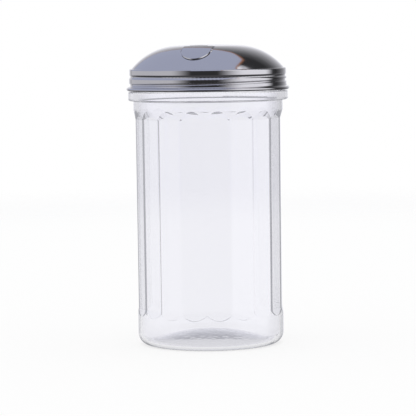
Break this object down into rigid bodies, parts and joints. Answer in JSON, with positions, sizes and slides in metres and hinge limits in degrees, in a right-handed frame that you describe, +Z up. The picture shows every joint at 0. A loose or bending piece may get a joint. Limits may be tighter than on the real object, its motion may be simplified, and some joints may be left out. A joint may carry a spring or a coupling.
{
  "type": "sugar dispenser",
  "caption": "Sugar dispenser: fluted clear jar with a screw-on domed steel lid and a small hinged flap that covers the pouring hole near the rim.",
  "frame": {"origin": "middle of the jar's standing ring, on the surface it stands on", "axes": "+Z up along the jar's axis, the flap points towards -Y, +X along the flap's hinge"},
  "size_m": [0.0794, 0.0794, 0.1461],
  "materials": {
    "jar": "clear moulded",
    "lid": "polished",
    "flap": "polished",
    "hinge_pin": "drawn wire"
  },
  "bodies": {
    "jar": {"jar": "jar"},
    "lid": {"lid": "lid", "hinge_pin": "hinge_pin"},
    "flap": {"flap": "flap"}
  },
  "joints": [
    {"name": "lid_lift", "type": "slide", "parent": "jar", "child": "lid", "axis": [0, 0, 1], "range_m": [0, 0.025]},
    {"name": "flap_hinge", "type": "hinge", "parent": "lid", "child": "flap", "pos_m": [0, -0.01927, 0.14339], "axis": [-1, 0, 0], "range_deg": [0, 85]}
  ]
}
